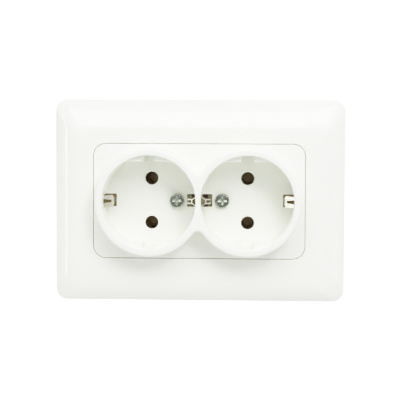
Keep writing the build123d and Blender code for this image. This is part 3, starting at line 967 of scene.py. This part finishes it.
    def stiffener_patch(self, upright: bool, place: float, side: int) -> Patch:
        """Plate behind the border, from the skirt outwards, under the hollow's curve.

        It ends where the hollow's arc has come back to the skirt's level, so that it runs out to an edge.

        Args:
            upright: True for a plate that stands above or below the window.
            place: Its distance from the middle.
            side: 1 or -1, for above or below, or right or left.

        Returns:
            A closed tube of four columns, drawn together at the skirt.
        """
        axis = 1 if upright else 0
        inset = self.wall - self.stiffener_sink
        drop = self.face - inset - self.skirt_level
        last = 1 - math.acos(1 - drop / self.crown_radius) / self.crown_tilt
        hollow = self.crown(np.linspace(self.stiffener_from, last, self.crown_rows), inset)
        reach, top = hollow[:, axis], hollow[:, 2]
        start = self.window[axis] + self.skirt_wall - self.stiffener_sink
        reach = np.concatenate([[start], np.maximum(reach, start)])
        top = np.concatenate([top[:1], top])
        low = np.minimum(self.skirt_level, top)
        level = np.stack([low, low, top, top], axis=1)
        across = place + self.stiffener / 2 * np.array([-1, 1, 1, -1])
        across = np.broadcast_to(across, level.shape)
        along = np.broadcast_to(side * reach[:, None], level.shape)
        right, up = (across, along) if upright else (along, across)
        tube = np.stack([right, level, up], axis=-1)
        end = np.broadcast_to(tube[:1].mean(1, keepdims=True), tube[:1].shape)
        return Patch(np.concatenate([end, tube]))

    def build(self) -> None:
        """Builds the frame and its stiffeners as one piece."""
        patches = [self.shell()]
        for side in (-1, 1):
            for place in (-1, 1):
                patches.append(self.stiffener_patch(True, place * self.stiffener_x, side))
                patches.append(self.stiffener_patch(False, place * self.stiffener_z, side))
        self.add_patches("cover_frame_shell", patches, Finish.COVER_PLASTIC, ["cover_frame"])


@dataclass
class CoverScrews(SubAssembly):
    """The two screws that hold the insert, one in each well, in millimetres."""

    head_height: float = 2.1
    head_radius: float = 2.95
    radius: float = 1.5

    def build(self) -> None:
        """Builds both screws as one piece."""
        low, high = box_mm("cover_screws")
        x = high[0] - self.head_radius
        screws = [
            Screw(
                x=side * x,
                z=(low[2] + high[2]) / 2,
                top=-low[1],
                tip=-high[1],
                facing=Facing.ROOM,
                drive=Drive.CROSS,
                head_radius=self.head_radius,
                head_height=self.head_height,
                radius=self.radius,
            )
            for side in (-1, 1)
        ]
        patches = [screw.rings() for screw in screws]
        self.add_patches("cover_screw_pair", patches, Finish.SCREW_STEEL, ["cover_screws"])


@dataclass
class ClawScrews(SubAssembly):
    """The screws that spread the claws, each on its own body, in millimetres."""

    head_height: float = 1.8
    radius: float = 1.5
    columns: int = 96

    def build(self) -> None:
        """Builds each screw as a piece of its own."""
        for side in ("left", "right"):
            node = f"claw_screw_{side}"
            low, high = box_mm(node)
            middle = (low + high) / 2
            screw = Screw(
                x=middle[0],
                z=middle[2],
                top=-low[1],
                tip=-high[1],
                facing=Facing.ROOM,
                drive=Drive.CROSS,
                head_radius=(high[0] - low[0]) / 2,
                head_height=self.head_height,
                radius=self.radius,
                columns=self.columns,
            )
            self.add_patches(f"{node}_threaded", [screw.rings()], Finish.SCREW_STEEL, [node], node)


@dataclass
class TerminalScrews(SubAssembly):
    """Pairs of slotted screws that clamp the wires from the back, in millimetres."""

    head_height: float = 2.2
    head_radius: float = 2.7
    head_round: float = 0.4
    dome: float = 0.1
    slot_depth: float = 1.0
    # Darkening of each slot, painted shade in its recess
    slot_painted_shade: float = 0.8
    radius: float = 1.7
    columns: int = 96
    top_rows: int = 24

    def build(self) -> None:
        """Builds the pair of each terminal as one piece."""
        for row in ("line", "earth", "neutral"):
            node = f"{row}_terminal_screws"
            low, high = box_mm(node)
            screws = [
                Screw(
                    x=x,
                    z=(low[2] + high[2]) / 2,
                    top=-high[1],
                    tip=-low[1],
                    facing=Facing.WALL_BOX,
                    drive=Drive.SLOT,
                    head_radius=self.head_radius,
                    head_height=self.head_height,
                    radius=self.radius,
                    head_round=self.head_round,
                    dome=self.dome,
                    recess=self.slot_depth,
                    drive_painted_light=self.slot_painted_shade,
                    columns=self.columns,
                    top_rows=self.top_rows,
                )
                for x in (low[0] + self.head_radius, high[0] - self.head_radius)
            ]
            patches = [screw.rings() for screw in screws]
            self.add_patches(f"{row}_terminal_screw_pair", patches, Finish.SCREW_STEEL, [node])


@dataclass
class EasedNode(SubAssembly):
    """A CAD solid whose sharp edges are eased, as shearing, tumbling or a mould's wear leaves them."""

    node: str
    body: str
    finish: Finish
    ease: float
    segments: int = 2
    limit: float = SHARP
    shading: float = math.radians(30)

    def build(self) -> None:
        """Builds a merged copy of the solid's mesh with a narrow bevel."""
        mesh = frame["nodes"][self.node].data.copy()
        mesh.name = f"{self.node}_eased"
        if "custom_normal" in mesh.attributes:
            mesh.attributes.remove(mesh.attributes["custom_normal"])
        self.mark_wear_and_light(mesh)
        piece = self.add_piece(mesh.name, mesh, self.finish, [self.node], self.body, self.shading)
        bevel = piece.modifiers.new("eased_edges", "BEVEL")
        bevel.width = self.ease * MM
        bevel.segments = self.segments
        bevel.limit_method = "ANGLE"
        bevel.angle_limit = self.limit
        bevel.harden_normals = True

    def mark_wear_and_light(self, mesh: bpy.types.Mesh) -> None:
        """Leaves the finish as it is made."""


@dataclass
class EarthStrip(EasedNode):
    """An earth piece: its clips are brighter, partly rubbed by plugs and partly a painted sheen, and its
    flat parts under the floor are darker, as painted shade.
    """

    # Brightening of the clips, partly rubbing and partly painted sheen; painted shade under the floor; and
    # the heights between which one gives way to the other
    rubbed_and_sheen: float = -0.5
    shade_under_floor: float = 0.4
    shade_height: float = 3.0
    sheen_height: float = 6.0

    def mark_wear_and_light(self, mesh: bpy.types.Mesh) -> None:
        """Marks each point: darker below one height from the wall, as painted shade under the floor, and
        brighter above another, as rubbing and painted sheen.

        Args:
            mesh: The copy of the solid's mesh.
        """
        places = np.empty(3 * len(mesh.vertices), np.float32)
        mesh.vertices.foreach_get("co", places)
        height = -places.reshape(-1, 3)[:, 1] / MM
        bright = smooth_step(self.shade_height, self.sheen_height, height)
        mark_light_and_wear(mesh, self.shade_under_floor + (self.rubbed_and_sheen - self.shade_under_floor) * bright)


# Studio


def aimed(place: Vector) -> Matrix:
    """Stands at a place and faces the middle of the wall plane."""
    turn = (-place).to_track_quat("-Z", "Y").to_matrix().to_4x4()
    return Matrix.Translation(place) @ turn


class Reach(Enum):
    """Where a light shows: in the matt shading, in the gloss, or in both."""

    BOTH = (True, True)
    MATT = (True, False)
    GLOSS = (False, True)


@dataclass(frozen=True)
class Softbox:
    """Rectangular light that faces the socket, in metres and watts.

    Its bearing is in degrees to the right of the front, and degrees below it.
    """

    name: str
    bearing: tuple[float, float]
    size: tuple[float, float]
    watts: float
    reach: Reach = Reach.BOTH
    distance: float = 0.8

    def build(self) -> None:
        """Adds the light, at the distance along its bearing."""
        data = bpy.data.lights.new(self.name, "AREA")
        data.shape = "RECTANGLE"
        data.size, data.size_y = self.size
        data.energy = self.watts
        light = bpy.data.objects.new(self.name, data)
        side, drop = np.radians(self.bearing)
        place = self.distance * Vector(
            (math.sin(side) * math.cos(drop), -math.cos(side) * math.cos(drop), -math.sin(drop))
        )
        light.matrix_world = aimed(place)
        light.visible_diffuse, light.visible_glossy = self.reach.value
        bpy.context.scene.collection.objects.link(light)


LIGHTS = (
    # From the upper right, for the shading of wells and collars
    Softbox("key_softbox", (25.0, -30.0), (0.2, 0.2), 1.65, Reach.MATT),
    # From above, for what faces up
    Softbox("overhead_strip", (6.0, -46.0), (0.9, 0.22), 2.7, Reach.MATT),
    # Wide panel that shows only in the gloss
    Softbox("overhead_panel", (4.0, -38.0), (1.2, 0.6), 8.0, Reach.GLOSS),
    # Faint light from high above
    Softbox("ceiling_bounce", (10.0, -60.0), (0.4, 0.3), 0.6, Reach.MATT),
    # From below, for what faces down
    Softbox("low_fill", (0.0, 52.0), (0.8, 0.4), 5.2, Reach.MATT),
    # Thin upright strip on the left
    Softbox("left_strip", (-67.0, -4.0), (0.02, 0.42), 0.4, distance=0.7),
    # From behind, for the views of the back
    Softbox("rear_softbox", (160.0, -35.0), (0.8, 0.6), 4.0, distance=0.9),
)


@dataclass
class Studio:
    """Camera, light, floor and backdrop round the socket, in metres."""

    camera_place: tuple[float, float, float] = (0.0231, -0.5164, 0.0299)
    camera_roll: float = math.radians(0.25)
    focal_mm: float = 108.36
    sensor_mm: float = 36.0
    floor_drop: float = 0.16
    floor_half: float = 3.0
    # Strength of the paper as a light and as it is seen
    ambient: float = 0.74
    backdrop: float = 2.4
    # The paper is dimmed to this share straight in front; -1 is in front and 1 behind
    front_share: float = 0.3
    dimmest: float = -0.985
    undimmed: float = -0.9
    # Tones of the picture: where the shoulder starts, its width, the brightest light, and the steps
    shoulder_start: float = 0.57
    shoulder_width: float = 0.46
    brightest: float = 2.2
    tones: int = 24

    def build(self) -> None:
        """Makes the camera, the lights, the world and the floor."""
        self.add_camera()
        for light in LIGHTS:
            light.build()
        self.add_world()
        self.add_floor()
        self.set_response()

    def set_response(self) -> None:
        """Gives the picture a camera's soft shoulder.

        Tone equals light up to the shoulder's start s. Beyond it, with the shoulder's width w, tone is
        s + w * (1 - exp(-(light - s) / w)), so that white surfaces keep their shading.
        """
        view = bpy.context.scene.view_settings
        view.view_transform = "Standard"
        view.use_curve_mapping = True
        mapping = view.curve_mapping
        mapping.white_level = (self.brightest,) * 3
        mapping.extend = "HORIZONTAL"
        light = np.linspace(0, self.brightest, self.tones)
        beyond = np.maximum(light - self.shoulder_start, 0)
        bent = self.shoulder_width * (1 - np.exp(-beyond / self.shoulder_width))
        tone = np.minimum(light, self.shoulder_start) + bent
        points = mapping.curves[COMBINED_CURVE].points
        points[0].location = (0, 0)
        points[1].location = (1, tone[-1])
        for x, y in zip(light[1:-1] / self.brightest, tone[1:-1]):
            points.new(x, y)
        mapping.update()

    def add_camera(self) -> None:
        """Puts the camera where the picture was taken from, looking at the middle of the wall plane."""
        data = bpy.data.cameras.new("camera")
        data.lens = self.focal_mm
        data.sensor_width = self.sensor_mm
        camera = bpy.data.objects.new("camera", data)
        roll = Matrix.Rotation(self.camera_roll, 4, "Z")
        camera.matrix_world = aimed(Vector(self.camera_place)) @ roll
        bpy.context.scene.collection.objects.link(camera)
        bpy.context.scene.camera = camera

    def add_world(self) -> None:
        """White paper all round, dimmer in front, which lights the socket less than it shows."""
        world = bpy.data.worlds.new("white_paper")
        world.use_nodes = True
        tree = world.node_tree
        tree.nodes.clear()
        towards = add_node(tree, "ShaderNodeTexCoord").outputs["Generated"]
        parts = add_node(tree, "ShaderNodeSeparateXYZ", inputs={"Vector": towards})
        dimmed = add_node(
            tree,
            "ShaderNodeMapRange",
            inputs={
                "Value": parts.outputs["Y"],
                "From Min": self.dimmest,
                "From Max": self.undimmed,
                "To Min": self.ambient * self.front_share,
                "To Max": self.ambient,
            },
        )
        seen = add_node(tree, "ShaderNodeLightPath").outputs["Is Camera Ray"]
        strength = add_node(
            tree,
            "ShaderNodeMix",
            inputs={MIX_SHARE: seen, FIRST_NUMBER: dimmed.outputs[0], SECOND_NUMBER: self.backdrop},
        )
        paper = add_node(
            tree,
            "ShaderNodeBackground",
            inputs={"Color": linear(WHITE), "Strength": strength.outputs[0]},
        )
        add_node(tree, "ShaderNodeOutputWorld", inputs={"Surface": paper.outputs[0]})
        bpy.context.scene.world = world

    def add_floor(self) -> None:
        """Plain pale floor below the socket, which neither lights it nor shows in its gloss."""
        low, high = -self.floor_half, self.floor_half
        corners = [(low, low), (high, low), (high, high), (low, high)]
        mesh = bpy.data.meshes.new("floor")
        mesh.from_pydata([(x, y, -self.floor_drop) for x, y in corners], [], [(0, 1, 2, 3)])
        floor = bpy.data.objects.new("floor", mesh)
        bpy.context.scene.collection.objects.link(floor)
        mesh.materials.append(material_of(PALE_FLOOR))
        floor.visible_diffuse = False
        floor.visible_glossy = False


def main() -> None:
    """Builds the sub-assemblies in order and reports each piece."""
    logging.basicConfig(level=logging.INFO, format="%(name)s: %(message)s")
    slots = {row["node"]: Finish(row["material_slot"]) for row in frame["record"]["subparts"]}
    CadNodes(slots).build()
    CoverFrame().build()
    CoverScrews().build()
    ClawScrews().build()
    TerminalScrews().build()
    bodies = frame["record"]["behaviour"]["bodies"]
    body_of = {node: body for body, nodes in bodies.items() for node in nodes}
    for node, ease in EASED_MM.items():
        kind = EarthStrip if slots[node] is Finish.EARTH_METAL else EasedNode
        kind(node, body_of[node], slots[node], ease).build()
    Studio().build()


if __name__ == "__main__":
    main()
